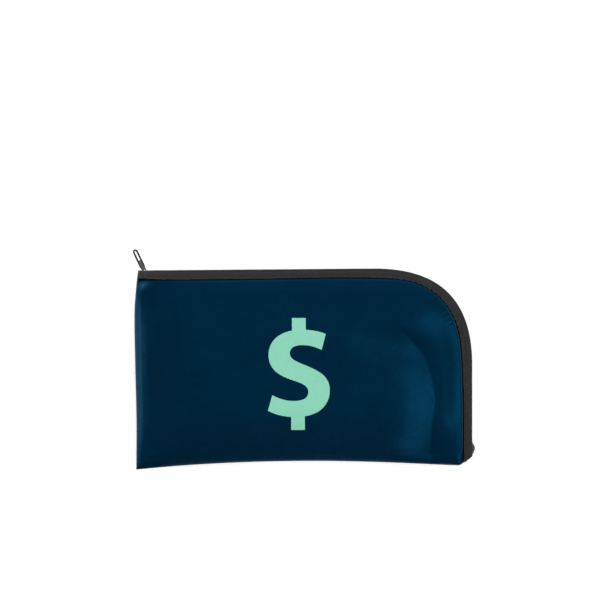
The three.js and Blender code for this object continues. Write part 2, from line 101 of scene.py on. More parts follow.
class Route:
    """A dense line of points, read by its length."""

    def __init__(self, points):
        self.points = np.asarray(points, float)
        steps = np.linalg.norm(np.diff(self.points, axis=0), axis=1)
        self.lengths = np.concatenate([[0], np.cumsum(steps)])
        self.length = self.lengths[-1]
        tangents = np.gradient(self.points, self.lengths, axis=0)
        self.tangents = tangents / np.linalg.norm(tangents, axis=1, keepdims=True)

    def _read(self, values, s):
        return np.stack([np.interp(s, self.lengths, v) for v in values.T], axis=-1)

    def at(self, s):
        return self._read(self.points, s)

    def along(self, s):
        t = self._read(self.tangents, s)
        return t / np.linalg.norm(t, axis=-1, keepdims=True)

    def spaced(self, count):
        return self.at(np.linspace(0, self.length, count))


def bezier(p0, p1, p2, p3, count):
    t = np.linspace(0, 1, count)[:, None]
    p0, p1, p2, p3 = (np.asarray(p, float) for p in (p0, p1, p2, p3))
    return (
        p0 * (1 - t) ** 3
        + 3 * p1 * t * (1 - t) ** 2
        + 3 * p2 * t**2 * (1 - t)
        + p3 * t**3
    )


def spline(knots, count):
    """A uniform Catmull-Rom line through the knots, with count points a span."""
    knots = np.asarray(knots, float)
    padded = np.vstack([knots[:1], knots, knots[-1:]])
    t = np.linspace(0, 1, count, endpoint=False)[:, None]
    parts = []
    for a, b, c, d in zip(padded, padded[1:], padded[2:], padded[3:]):
        v0 = (c - a) / 2
        v1 = (d - b) / 2
        cubic = 2 * b - 2 * c + v0 + v1
        square = -3 * b + 3 * c - 2 * v0 - v1
        parts.append(cubic * t**3 + square * t**2 + v0 * t + b)
    return np.vstack([*parts, knots[-1:]])


def without_repeats(points):
    keep = np.concatenate([[True], np.linalg.norm(np.diff(points, axis=0), axis=1) > 1e-6])
    return points[keep]


ZIP_START = np.array([-136.9, 80.16])
CORNER_START = np.array([57.8, 81.72])
CORNER_END = np.array([139.5, 2.72])
ZIP_END = np.array([139.5, -74.4])
CORNER_REACH = (57.66, 50.37)
BOTTOM_LEFT = (-138.2, -84.6)
BOTTOM_RIGHT = (127.2, -81.16)  # where the bottom edge starts to turn into the bevelled corner
BEVEL_START = (129.5, -81.3)
BEVEL_TURN = 0.2  # share of the bevel that its rounded start takes
LEAD = 6.0  # the zipper's line is known this far beyond both of its ends

top_direction = (CORNER_START - ZIP_START) / np.linalg.norm(CORNER_START - ZIP_START)
corner = bezier(
    CORNER_START,
    CORNER_START + top_direction * CORNER_REACH[0],
    CORNER_END + (0, CORNER_REACH[1]),
    CORNER_END,
    1200,
)
straight = np.linspace(0, 1, 400)[:, None]
crest = without_repeats(
    np.vstack(
        [
            ZIP_START * (1 - straight) + CORNER_START * straight,
            corner,
            CORNER_END * (1 - straight) + ZIP_END * straight,
        ]
    )
)
crest_line = Route(crest)
long_line = Route(
    np.vstack([ZIP_START - top_direction * LEAD, crest, ZIP_END - (0, LEAD)])
)
ZIP_LENGTH = crest_line.length
TOP_LENGTH = float(np.linalg.norm(CORNER_START - ZIP_START))
CORNER_LENGTH = Route(corner).length
CORNER_MIDDLE = TOP_LENGTH + CORNER_LENGTH / 2


def beside_zip(s, n):
    """The point at length s along the crest of the zipper's lips, n to the outside."""
    s = np.asarray(s, float) + LEAD
    along = long_line.along(s)
    outward = np.stack([-along[..., 1], along[..., 0]], axis=-1)
    return long_line.at(s) + outward * np.asarray(n, float)[..., None]


left_edge = Route(
    spline(
        [BOTTOM_LEFT, (-138, -45), (-139, 0), (-139.7, 40), (-138.8, 60), beside_zip(0, -EDGE_INSET)],
        60,
    )
)


def bottom_line():
    """The hollow bottom edge, its rounded right corner and the bevel up to the zipper's end."""
    knots = [BOTTOM_LEFT, (-95.5, -80.9), (-42, -78.2), (11, -77.4), (64, -78.4), BOTTOM_RIGHT]
    end = beside_zip(ZIP_LENGTH, -EDGE_INSET)
    turn = BEVEL_START + (end - BEVEL_START) * BEVEL_TURN
    before_turn = BEVEL_START + (turn - BEVEL_START) * 0.3
    hollow = spline(knots, 60)
    corner = bezier(BOTTOM_RIGHT, (128.8, -81.25), before_turn, turn, 12)
    bevel = bezier(turn, turn, end, end, 12)
    return np.vstack([hollow[:-1], corner[:-1], bevel])


bottom_edge = Route(bottom_line())

# Where the tape's visible band turns wider or narrower: a length along the zipper and its width.
BAND_WIDTHS = np.array(
    [
        *[(0, 6.3), (20, 7.5), (48, 7.6), (118, 7.4), (160, 6.8)],
        *[(202, 7.5), (230, 6.4), (314, 8.1), (356, 6.7), (403, 6.5)],
    ]
)


def band_width(s):
    return np.interp(s, BAND_WIDTHS[:, 0], BAND_WIDTHS[:, 1])


# ---- The swelling of the front and the back ----


def distance_to(line):
    starts = line[:-1]
    spans = np.diff(line, axis=0)
    squares = (spans**2).sum(axis=1)

    def measure(x, y):
        p = np.stack([np.ravel(x), np.ravel(y)], axis=-1)
        best = np.full(len(p), np.inf)
        for start, span, square in zip(starts, spans, squares):
            off = p - start
            share = np.clip(off @ span / square, 0, 1)
            off = off - share[:, None] * span
            best = np.minimum(best, np.hypot(off[:, 0], off[:, 1]))
        return best.reshape(np.shape(x))

    return measure


to_zip = distance_to(crest_line.spaced(420))
to_left = distance_to(left_edge.spaced(60))
to_bottom = distance_to(bottom_edge.spaced(240))


def smooth(x):
    x = np.clip(x, 0, 1)
    return x * x * (3 - 2 * x)


def fade_in(distance, span):
    """0 up to the span's first number, and 1 once the span's second number has passed beyond it."""
    start, width = span
    return smooth((distance - start) / width)


def flank(distance, width):
    return 1 - (1 - np.clip(distance / width, 0, 1)) ** 2


def bell(x, width):
    return np.exp(-((x / width) ** 2))


def seam_distance(x, y):
    """Distance to the nearer sewn edge."""
    return np.minimum(to_left(x, y), to_bottom(x, y))


def swell(x, y, rise):
    """Height of an outer face from the plane of the seams."""
    zip_off = to_zip(x, y)
    left = to_left(x, y)
    bottom = to_bottom(x, y)
    seam = np.minimum(left, bottom)
    near_zip = 1 - smooth((zip_off - LIP_FLAT) / LIP_FADE)
    nose_depth = NOSE_DEPTH + (NOSE_DEPTH_AT_ZIP - NOSE_DEPTH) * near_zip
    nose = np.sqrt(1 - (1 - np.minimum(seam / nose_depth, 1)) ** 2)
    opened = 1 - (1 - flank(seam, OPENING_WIDTH)) * (1 - near_zip * nose)
    lip = SEAM_LIP * nose + (ZIP_LIP - GAP / 2 - SEAM_LIP) * opened
    flanks = (
        flank(zip_off - EDGE_INSET, ZIP_SLOPE_WIDTH)
        * flank(left, SEAM_SLOPE_WIDTH)
        * flank(bottom, SEAM_SLOPE_WIDTH)
    )
    return GAP / 2 + lip + rise * flanks


ROLL_LENGTHS = (150, 105, 78, 56, 41)
ROLL_HEIGHT = 1.6  # what the waves' heights add up to, nearly


def roll(x, y, seed):
    """Slow unevenness of hand-filled vinyl, about one unit high."""
    total = np.zeros(np.shape(x))
    rng = np.random.default_rng(seed)
    for length in ROLL_LENGTHS:
        turn = rng.uniform(0, math.pi)
        phase = rng.uniform(0, 2 * math.pi)
        across = x * math.cos(turn) + y * math.sin(turn)
        total += length / ROLL_LENGTHS[0] * np.sin(2 * math.pi * across / length + phase)
    return total / ROLL_HEIGHT


# The fold that runs down from the round corner: a valley, narrower on its right.
FOLD = Route(
    spline(
        [(64, 44), (81.3, 30.7), (98.8, 10.8), (106.2, -9.1), (108.7, -29), (106.2, -49), (107, -82)],
        20,
    )
)
FOLD_DEPTH = 2.6
FOLD_LEFT = 44.0
FOLD_RIGHT = 11.0
FOLD_START_FADE = 26.0
FOLD_SEAM_FADE = (1, 9)  # each fade starts at the first distance and takes the second
FOLD_ZIP_FADE = (8, 14)
to_fold = distance_to(FOLD.spaced(120))

PUCKER_FROM = TOP_LENGTH + 8
PUCKER_TO = TOP_LENGTH + CORNER_LENGTH - 26
PUCKER_FADE = 12.0
STITCH_PITCH = 3.0
SCALLOP_PITCH = 5.4
GATHER = 0.25  # height of the gathers beside the band
GATHER_REACH = 3.6
GROOVE = 0.42  # depth of the crease where the vinyl goes under the band
GROOVE_OFF = 0.9
GROOVE_WIDTH = 0.95


def curve_share(s):
    """1 along the tight part of the round corner, where the sewing gathers the vinyl."""
    return smooth((s - PUCKER_FROM) / PUCKER_FADE) * smooth((PUCKER_TO - s) / PUCKER_FADE)


def scallop(s):
    """Round lobes between the stitches that gather the vinyl, from -1 to 1."""
    return 2 * np.abs(np.sin(math.pi * s / SCALLOP_PITCH)) - 1


def zip_length_at(x, y):
    """Length along the zipper of the nearest point of its crest."""
    lengths = np.linspace(0, ZIP_LENGTH, 300)
    marks = crest_line.at(lengths)
    best = np.full(np.shape(x), np.inf)
    found = np.zeros(np.shape(x))
    for mark, tangent, s in zip(marks, crest_line.along(lengths), lengths):
        dx = x - mark[0]
        dy = y - mark[1]
        away = np.hypot(dx, dy)
        closer = away < best
        found = np.where(closer, s + np.clip(dx * tangent[0] + dy * tangent[1], -1.5, 1.5), found)
        best = np.minimum(best, away)
    return found


def fold_relief(x, y):
    away = to_fold(x, y)
    beside = np.interp(y, FOLD.points[::-1, 1], FOLD.points[::-1, 0])
    share = np.clip(away / FOLD_LEFT, 0, 1)
    slope = (1 + np.cos(math.pi * share)) / 2
    bank = np.exp(-away / FOLD_RIGHT)
    fold_top = FOLD.points[0, 1]
    shape = np.where((x < beside) & (y < fold_top), slope, bank)
    fade = smooth((fold_top - y) / FOLD_START_FADE) * fade_in(to_bottom(x, y), FOLD_SEAM_FADE)
    deeper_high = 0.6 * bell(y - 14, 16)
    deeper_low = 0.4 * smooth((-48 - y) / 18)
    fade = fade * (1 + deeper_high + deeper_low)
    return -FOLD_DEPTH * fade * shape * fade_in(to_zip(x, y), FOLD_ZIP_FADE)


PINCH_OFF = (-1, -7)  # from the zipper's closed end to the middle of the pinch
PINCH_WIDTH = 8.0
PINCH_DEPTH = 0.92
PINCH_FADE = (0.3, 2.4)


def corner_pinch(x, y):
    """How much of its height the front keeps: it is pinched below the closed end."""
    off = to_zip(x, y) - band_width(0)
    middle = ZIP_START + PINCH_OFF
    pinch = bell(x - middle[0], PINCH_WIDTH) * bell(y - middle[1], PINCH_WIDTH)
    return 1 - PINCH_DEPTH * pinch * fade_in(off, PINCH_FADE)


def puff(off, height, rise_width, reach):
    """A roll of vinyl that rises beside the band and sinks slowly away from it."""
    return height * (1 - bell(off, rise_width)) * np.exp(-off / reach)


def lip_roll(band_off, s):
    """The vinyl puffs up beside the band: gently along the top, sharply down the right."""
    off = np.maximum(band_off, 0)
    top = puff(off, 1.0, 8, 22)
    side = puff(off, 2.0, 1.4, 12)
    share = smooth((s - TOP_LENGTH - 0.45 * CORNER_LENGTH) / 40)
    return top + (side - top) * share


SEAM_ALLOWANCE = 7.0  # width of the turned vinyl inside a sewn edge
SEAM_PROUD = 0.8


def seam_roll(seam, zip_off):
    """The turned seam stands a little proud along the sewn edges."""
    proud = smooth(seam / SEAM_ALLOWANCE) * (1 - smooth((seam - SEAM_ALLOWANCE) / 22))
    crease = -0.12 * bell(seam - SEAM_ALLOWANCE - 0.5, 1.2)
    return (SEAM_PROUD * proud + crease) * fade_in(zip_off, (8, 8))


def front_relief(x, y):
    zip_off = to_zip(x, y)
    seam = seam_distance(x, y)
    inside = smooth(seam / 14) * fade_in(zip_off, (9, 16))
    s = zip_length_at(x, y)
    band_off = zip_off - band_width(s)
    gather = GATHER * curve_share(s) * scallop(s)
    pucker = gather * np.exp(-np.maximum(band_off, 0) / GATHER_REACH) * smooth((band_off + 1.5) / 1.5)
    groove = -GROOVE * bell(band_off - GROOVE_OFF, GROOVE_WIDTH)
    relief = 0.34 * roll(x, y, 7) * inside + seam_roll(seam, zip_off)
    relief += lip_roll(band_off, s) * smooth(seam / 9)
    relief += fold_relief(x, y)
    return relief + (pucker + groove) * smooth(seam / 3)


def front_height(x, y):
    return SEAM_Z + swell(x, y, FRONT_RISE) * corner_pinch(x, y) + front_relief(x, y)


def back_height(x, y):
    seam = seam_distance(x, y)
    zip_off = to_zip(x, y)
    band_off = zip_off - band_width(zip_length_at(x, y))
    groove = 0.4 * bell(band_off - GROOVE_OFF, GROOVE_WIDTH) * smooth(seam / 3)
    z = SEAM_Z - swell(x, y, BACK_DROP) + groove - seam_roll(seam, zip_off)
    z = z + 0.3 * roll(x, y, 23) * smooth(z / 3) * fade_in(zip_off, (9, 10))
    return np.maximum(z, 0)


# ---- Meshes ----


def add_object(name, vertices, faces, smooth_angle=50):
    mesh = bpy.data.meshes.new(name)
    mesh.from_pydata((np.asarray(vertices) * MM).tolist(), [], faces)
    mesh.polygons.foreach_set("use_smooth", [True] * len(mesh.polygons))
    mesh.set_sharp_from_angle(angle=math.radians(smooth_angle))
    mesh.update()
    piece = bpy.data.objects.new(name, mesh)
    bpy.context.scene.collection.objects.link(piece)
    return piece


def add_uv(piece, u, v):
    """Writes each vertex's two lengths, in metres, as the piece's weave coordinates."""
    mesh = piece.data
    layer = mesh.uv_layers.new(name="weave")
    corners = np.empty(len(mesh.loops), int)
    mesh.loops.foreach_get("vertex_index", corners)
    pairs = np.stack([np.ravel(u)[corners], np.ravel(v)[corners]], axis=-1) * MM
    layer.data.foreach_set("uv", pairs.ravel())


def add_share(piece, name, values):
    layer = piece.data.attributes.new(name, "FLOAT", "POINT")
    layer.data.foreach_set("value", np.ravel(values).astype(np.float32))


def grid_faces(rows, columns, start=0):
    i, j = np.meshgrid(np.arange(rows - 1), np.arange(columns - 1), indexing="ij")
    a = (start + i * columns + j).ravel()
    return np.stack([a, a + columns, a + columns + 1, a + 1], axis=-1)


def rim_faces(rows, columns):
    """Faces that join the borders of a grid and of a second one that follows it."""
    size = rows * columns
    border = [(i, 0) for i in range(rows)]
    border += [(rows - 1, j) for j in range(1, columns)]
    border += [(i, columns - 1) for i in range(rows - 2, -1, -1)]
    border += [(0, j) for j in range(columns - 2, 0, -1)]
    ids = np.array([i * columns + j for i, j in border])
    after = np.roll(ids, -1)
    return np.stack([ids, ids + size, after + size, after], axis=-1)


def closed_sheet(name, outer, inner, up, smooth_angle=50):
    """A closed body between two grids of points. up says to which side outer lies."""
    rows, columns = outer.shape[:2]
    top = grid_faces(rows, columns)
    under = grid_faces(rows, columns, rows * columns)[:, ::-1]
    faces = np.vstack([top, under, rim_faces(rows, columns)[:, ::-1]])
    if up < 0:
        faces = faces[:, ::-1]
    vertices = np.vstack([outer.reshape(-1, 3), inner.reshape(-1, 3)])
    return add_object(name, vertices, faces.tolist(), smooth_angle)


def tube_parts(path, reference, radii, sides):
    """Vertices and faces of a closed tube along a path. reference points off the path."""
    tangent = np.gradient(path, axis=0)
    tangent /= np.linalg.norm(tangent, axis=1, keepdims=True)
    side = reference - (reference * tangent).sum(axis=1, keepdims=True) * tangent
    side /= np.linalg.norm(side, axis=1, keepdims=True)
    other = np.cross(tangent, side)
    turn = (2 * math.pi * np.arange(sides) / sides)[None, :, None]
    ring = np.cos(turn) * side[:, None] + np.sin(turn) * other[:, None]
    vertices = path[:, None] + ring * radii[:, None, None]
    count = len(path)
    i, j = np.meshgrid(np.arange(count - 1), np.arange(sides), indexing="ij")
    k = (j + 1) % sides
    row = i * sides
    walls = np.stack([row + j, row + k, row + sides + k, row + sides + j], -1)
    faces = walls.reshape(-1, 4).tolist()
    faces.append(list(range(sides - 1, -1, -1)))
    faces.append(list(range((count - 1) * sides, count * sides)))
    return vertices.reshape(-1, 3), faces


def join_parts(parts):
    vertices = []
    faces = []
    start = 0
    for points, own in parts:
        vertices.append(points)
        faces += [[start + k for k in face] for face in own]
        start += len(points)
    return np.vstack(vertices), faces


# ---- The two vinyl panels ----


SEAM_MARKS = (0, 0.08, 0.2, 0.4, 0.7, 1.1, 1.6, 2.2, 2.9, 3.7, 4.6, 5.6, 6.8, 8)


def shares(length, parts):
    """Places from 0 to 1 along a length: fine at the seam, then at the given pitches."""
    marks = list(SEAM_MARKS)
    at = marks[-1]
    for until, pitch in parts:
        count = max(1, round((until * length - at) / pitch))
        marks += list(np.linspace(at, until * length, count + 1)[1:])
        at = until * length
    return np.array(marks) / length


def plan_grid(u, v):
    """Points of a panel's plan, blended between its four sides."""
    u = np.asarray(u)[:, None]
    v = np.asarray(v)[None, :]
    bottom = bottom_edge.at(u * bottom_edge.length)
    top = beside_zip(u * CORNER_MIDDLE, np.full(u.shape, -EDGE_INSET))
    left = left_edge.at(v * left_edge.length)
    right_s = ZIP_LENGTH + (CORNER_MIDDLE - ZIP_LENGTH) * v
    right = beside_zip(right_s, np.full(v.shape, -EDGE_INSET))
    u3 = u[..., None]
    v3 = v[..., None]
    a = bottom_edge.points[0]
    b = bottom_edge.points[-1]
    c = beside_zip(0, -EDGE_INSET)
    d = beside_zip(CORNER_MIDDLE, -EDGE_INSET)
    blend = bottom * (1 - v3) + top * v3 + left * (1 - u3) + right * u3
    corners = a * (1 - u3) * (1 - v3) + b * u3 * (1 - v3) + c * (1 - u3) * v3 + d * u3 * v3
    return blend - corners


def thickened(outer, up):
    """The grid moved by the panel's thickness to the inside, level where it ends in a seam."""
    normal = np.cross(np.gradient(outer, axis=0), np.gradient(outer, axis=1)) * up
    normal[0, :, 2] = 0
    normal[:, 0, 2] = 0
    normal /= np.maximum(np.linalg.norm(normal, axis=-1, keepdims=True), 1e-9)
    return outer - normal * VINYL


def panel(name, height, up, u, v):
    """A panel, with shares for wear and a painted highlight at the left edge, painted shadow beside the
    band and painted shade at the bottom edge.
    """
    plan = plan_grid(u, v)
    x = plan[..., 0]
    y = plan[..., 1]
    outer = np.dstack([plan, height(x, y)])
    piece = closed_sheet(name, outer, thickened(outer, up), up)
    band_off = to_zip(x, y) - band_width(zip_length_at(x, y))
    for share, values in (
        # wear and a painted highlight: paler along the left edge
        ("worn", np.exp(-to_left(x, y) / 2.2)),
        # painted shadow beside the band's inner edge
        ("tucked", bell(band_off - GROOVE_OFF, 1.3)),
        # painted shade along the bottom edge
        ("under", np.exp(-to_bottom(x, y) / 2.0)),
    ):
        add_share(piece, share, np.concatenate([values.ravel(), np.zeros(values.size)]))
    return piece


RIGHT_SIDE = ZIP_LENGTH - CORNER_MIDDLE
front_vinyl = panel(
    "front_vinyl",
    front_height,
    1,
    shares(CORNER_MIDDLE, [(0.76, 1.6), (1, 0.5)]),
    shares(RIGHT_SIDE, [(0.5, 1.4), (1, 0.5)]),
)
back_vinyl = panel(
    "back_vinyl",
    back_height,
    -1,
    shares(CORNER_MIDDLE, [(1, 2.0)]),
    shares(RIGHT_SIDE, [(1, 1.8)]),
)

# ---- The printed sign: a plain currency sign, a film that follows the vinyl ----

INK_LIFT = 0.02
INK = 0.09
SIGN_LOW = (-32, -54)
SIGN_HIGH = (25, 44)
SIGN_BARS = ((-9.3, 2, 29, 40.9), (-10, 1.3, -51.3, -38))


def sign_outline():
    beziers = [
        [(18.5, 27.8), (12.5, 30.2), (5.5, 31.3), (-1, 31.3)],
        [(-1, 31.3), (-17.5, 31.3), (-28.6, 23.5), (-28.6, 10.4)],
        [(-28.6, 10.4), (-28.6, 0.5), (-22.5, -5), (-12.5, -8.9)],
        [(-12.5, -8.9), (-4, -12.2), (4.2, -13.5), (4.2, -19.9)],
        [(4.2, -19.9), (4.2, -25), (-0.5, -27.4), (-8, -27.4)],
        [(-8, -27.4), (-14, -27.4), (-19.8, -25.6), (-25.5, -22.6)],
        [(-29.1, -35.4), (-23, -38.8), (-15, -40.6), (-6.5, -40.6)],
        [(-6.5, -40.6), (11.5, -40.6), (21.8, -32), (21.8, -18.5)],
        [(21.8, -18.5), (21.8, -9), (16, -4.2), (5.5, 0.4)],
        [(5.5, 0.4), (-4.5, 4.7), (-11.1, 6.5), (-11.1, 11.9)],
        [(-11.1, 11.9), (-11.1, 16.2), (-7.3, 18.6), (-0.8, 18.6)],
        [(-0.8, 18.6), (5, 18.6), (10.2, 17.2), (15.1, 14.6)],
    ]
    return without_repeats(np.vstack([bezier(*b, 17) for b in beziers]))


def bar_outline(x0, x1, y0, y1):
    return np.array([(x0, y0), (x1, y0), (x1, y1), (x0, y1)], float)


CUTTER_Z = (5.0, 60.0)


def prism(name, outline):
    """An upright cutter over an outline in plan."""
    after = np.roll(outline, -1, axis=0)
    if np.sum(outline[:, 0] * after[:, 1] - outline[:, 1] * after[:, 0]) < 0:
        outline = outline[::-1]
    count = len(outline)
    low_ring, high_ring = (np.column_stack([outline, np.full(count, z)]) for z in CUTTER_Z)
    faces = [[k, (k + 1) % count, (k + 1) % count + count, k + count] for k in range(count)]
    faces += [list(range(count - 1, -1, -1)), list(range(count, 2 * count))]
    return add_object(name, np.vstack([low_ring, high_ring]), faces)


def apply_boolean(piece, cutter, operation):
    cut = piece.modifiers.new("cut", "BOOLEAN")
    cut.operation = operation
    cut.solver = "EXACT"
    cut.object = cutter
    depsgraph = bpy.context.evaluated_depsgraph_get()
    made = bpy.data.meshes.new_from_object(piece.evaluated_get(depsgraph))
    piece.modifiers.clear()
    old = piece.data
    piece.data = made
    made.name = piece.name
    bpy.data.meshes.remove(old)
    bpy.data.objects.remove(cutter)


def shade_round(piece, angle):
    piece.data.polygons.foreach_set("use_smooth", [True] * len(piece.data.polygons))
    piece.data.set_sharp_from_angle(angle=math.radians(angle))


def printed_sign():
    across, along = (np.linspace(a, b, b - a + 1) for a, b in zip(SIGN_LOW, SIGN_HIGH))
    x, y = np.meshgrid(across, along, indexing="ij")
    z = front_height(x, y) + INK_LIFT
    film = closed_sheet("ink_sign", np.dstack([x, y, z + INK]), np.dstack([x, y, z]), 1)
    cutter = prism("cutter", sign_outline())
    for box in SIGN_BARS:
        apply_boolean(cutter, prism("bar", bar_outline(*box)), "UNION")
    apply_boolean(film, cutter, "INTERSECT")
    shade_round(film, 40)
    return film


ink_sign = printed_sign()

# ---- The zipper ----


def kick(s):
    """How far the chain has climbed out of its valley, 0 to 1, at length s."""
    y = beside_zip(s, np.zeros(np.shape(s)))[..., 1]
    away = np.where(np.asarray(s) > TOP_LENGTH, y - CHAIN_KICK_Y, CHAIN_KICK_SPAN) / CHAIN_KICK_SPAN
    return np.where(np.abs(away) < 0.5, np.cos(math.pi * away) ** 2, 0)


def chain_n(s):
    return -CHAIN_DEPTH + CHAIN_KICK * kick(s)


# The tape's section from the chain up to the crest of its fold, as (n, height): where the chain
# lies in its valley, and where it has climbed out of it.
SUNKEN = np.array(
    [
        *[(-5.3, 2.65), (-5.3, 3.6), (-5.15, 4.05), (-4.7, 4.3)],
        *[(-1.25, 4.3), (-0.54, 4.59), (-0.25, 5.3), (-0.54, 6.01)],
    ]
)
CLIMBED = np.array(
    [
        *[(1.7, 2.65), (1.7, 3.3), (1.6, 3.9), (1.3, 4.4)],
        *[(0.8, 4.85), (0.35, 5.2), (-0.05, 5.6), (-0.6, 6.05)],
    ]
)
BAND_AT = (-1.5, -3.0, -4.2, -5.5)  # then the section lies on the panel, out to the band's edge
BAND_LIFT = 0.07
TAPE_START = 0.5
TAPE_END = ZIP_LENGTH - 0.9
END_CUT = 0.81  # slope of the cut at the tape's lower end
END_CUT_LENGTH = 14.0
SECTION_POINTS = 40
TAPE_PITCH = 0.75
FOLDED_OUT = 4.0  # height over the seams' plane above which the tape is outside the bag
DIMPLE = 0.13  # depth of the dent that a stitch pulls in the tape


def resample(line, count):
    dense = spline(line, 12)
    route = Route(without_repeats(dense))
    return route.at(np.linspace(0, route.length, count))


def end_cut(s, n):
    """How far the cut at the tape's lower end moves a point at (s, n) down."""
    return np.minimum(n, 0) * END_CUT * smooth((s - TAPE_END + END_CUT_LENGTH) / END_CUT_LENGTH)


def edge_scallop(s):
    ripple = -0.42 * curve_share(s) * scallop(s)
    wander = 0.1 * np.sin(s / 9.0) + 0.06 * np.sin(s / 3.7 + 1)
    return ripple + wander


def tape_half(name, up):
    """One half of the tape: from the chain, over the crest of its fold and out as the band."""
    stations = np.arange(TAPE_START, TAPE_END + TAPE_PITCH / 2, TAPE_PITCH)
    stations[-1] = TAPE_END
    rise = FRONT_RISE if up > 0 else BACK_DROP
    outer = []
    inner = []
    lengths = []
    crests = []
    band_n = [np.full(len(stations), n) for n in BAND_AT]
    band_n.append(edge_scallop(stations) - band_width(stations))
    band_z = []
    for n in band_n:
        p = beside_zip(stations, n)
        band_z.append(swell(p[:, 0], p[:, 1], rise) + BAND_LIFT + TAPE / 2)
    kicks = kick(stations)
    dimple = DIMPLE * (0.5 + 0.5 * np.cos(2 * math.pi * stations / STITCH_PITCH))
    for k, s in enumerate(stations):
        valley = SUNKEN + (CLIMBED - SUNKEN) * kicks[k]
        band = [(n[k], z[k]) for n, z in zip(band_n, band_z)]
        line = resample(np.vstack([valley, band]), SECTION_POINTS)
        steps = np.gradient(line, axis=0)
        steps /= np.linalg.norm(steps, axis=1, keepdims=True)
        across = np.stack([steps[:, 1], -steps[:, 0]], axis=-1)
        folded_out = line[:, 1] > FOLDED_OUT
        line[:, 1] -= dimple[k] * bell(line[:, 0] + STITCH_INSET, 0.6) * folded_out
        sides = []
        for side in (-1, 1):
            n = line[:, 0] + side * across[:, 0] * TAPE / 2
            z = line[:, 1] + side * across[:, 1] * TAPE / 2
            p = beside_zip(np.full(len(n), s), n)
            p[:, 1] += end_cut(s, n)
            sides.append(np.column_stack([p, SEAM_Z + up * z]))
        outer.append(sides[0])
        inner.append(sides[1])
        # marks the fold's crest for its painted highlight
        crests.append(bell(line[:, 0] + 0.5, 0.8) * (line[:, 1] > FOLDED_OUT))
        walked = np.linalg.norm(np.diff(line, axis=0), axis=1)
        lengths.append(np.concatenate([[0], np.cumsum(walked)]))
    piece = closed_sheet(name, np.array(outer), np.array(inner), -up, 60)
    along = np.repeat(stations[:, None], SECTION_POINTS, axis=1)
    add_uv(piece, np.concatenate([along, along]), np.concatenate([lengths, lengths]))
    # lighter towards the tape's left end, and a painted highlight along the crest of the fold
    faded = 0.55 * np.exp(-along / 16) + 0.14 * np.array(crests)
    add_share(piece, "faded", np.concatenate([faded, faded]))
    return piece


front_band = tape_half("front_band", 1)
back_band = tape_half("back_band", -1)

COIL_PITCH = 1.3
COIL_TURN_POINTS = 12
COIL_START = 3.0
COIL_END = ZIP_LENGTH - 4.9
COIL_HALF = (0.62, 0.98)  # half of a loop's width along n, and of its height
COIL_RISE = 1.2
COIL_LEAN = 0.22
COIL_RADIUS = 0.27


def coil(name, up):
    """One monofilament coil: loops that lean along the chain and hook into the other coil's."""
    turns = int((COIL_END - COIL_START) / COIL_PITCH)
    turn = np.arange(turns * COIL_TURN_POINTS + 1) * 2 * math.pi / COIL_TURN_POINTS
    first = 0 if up > 0 else 0.5
    s = COIL_START + COIL_PITCH * (turn / (2 * math.pi) + first) + COIL_LEAN * np.sin(turn)
    n = chain_n(s) + COIL_HALF[0] * np.cos(turn)
    z = SEAM_Z + up * (COIL_RISE - COIL_HALF[1] * np.sin(turn))
    along = long_line.along(s + LEAD)
    outward = np.column_stack([-along[:, 1], along[:, 0], np.zeros(len(s))])
    off = outward * np.cos(turn)[:, None]
    off[:, 2] = -up * np.sin(turn)
    path = np.column_stack([beside_zip(s, n), z])
    vertices, faces = tube_parts(path, off, np.full(len(s), COIL_RADIUS), 6)
    return add_object(name, vertices, faces, 70)


front_loops = coil("front_loops", 1)
back_loops = coil("back_loops", -1)


STITCH_RADIUS = 0.2
STITCH_SHARE = 0.44  # half of a stitch's length, as a share of the pitch
STITCH_LIFT = 0.16
STITCH_DIP = 0.42  # its ends go this far down into the tape


def band_stitches(name, up):
    """The sewing that holds the tape: one short raised thread after another."""
    parts = []
    rise = FRONT_RISE if up > 0 else BACK_DROP
    share = np.linspace(-1, 1, 9)
    for middle in np.arange(TAPE_START + 2.2, TAPE_END - 2.5, STITCH_PITCH):
        s = middle + STITCH_PITCH / 2 + share * STITCH_PITCH * STITCH_SHARE
        wander = 0.05 * math.sin(middle * 1.7)
        n = np.full(len(s), -STITCH_INSET + wander) + 0.07 * share
        p = beside_zip(s, n)
        p[:, 1] += end_cut(s, n)
        z = swell(p[:, 0], p[:, 1], rise) + BAND_LIFT + TAPE + STITCH_LIFT - STITCH_DIP * share**6
        path = np.column_stack([p, SEAM_Z + up * z])
        above = np.tile([0.0, 0.0, 1.0], (len(s), 1))
        radii = STITCH_RADIUS * np.sqrt(np.maximum(1 - 0.75 * share**8, 0.05))
        parts.append(tube_parts(path, above, radii, 6))
    vertices, faces = join_parts(parts)
    return add_object(name, vertices, faces, 70)


front_stitches = band_stitches("front_stitches", 1)
back_stitches = band_stitches("back_stitches", -1)

# ---- The pull: a cast loop with an eye for the bridge, a recessed web and a long slot ----

PULL_PIVOT = (-130.686, 78.41)
PULL_LEAN = math.radians(25.6)
PULL_TURN = math.radians(54)
PULL_ROUND = 2.36  # radius of the loop's far end
PULL_LOOP = np.array(
    [
        *[(0.05, -0.14), (1.3, -0.08), (2.05, 0.8), (2.13, 3.2), (2.33, 5.4)],
        *[(PULL_ROUND, 9.0), (PULL_ROUND, 13.5), (PULL_ROUND, 18.1)],
    ]
)
PULL_EYE_WIRE = 0.42
PULL_WIRE = 0.82
PULL_WEB = (2.3, 11.2)
PULL_WEB_HALF = (2.4, 0.32)


def pull_axes():
    """Unit directions across the pull, up it and through it."""
    level = np.array([math.cos(PULL_LEAN), math.sin(PULL_LEAN), 0])
    across = level * math.cos(PULL_TURN) - np.array([0, 0, math.sin(PULL_TURN)])
    up = np.array([-math.sin(PULL_LEAN), math.cos(PULL_LEAN), 0])
    return across, up, np.cross(across, up)


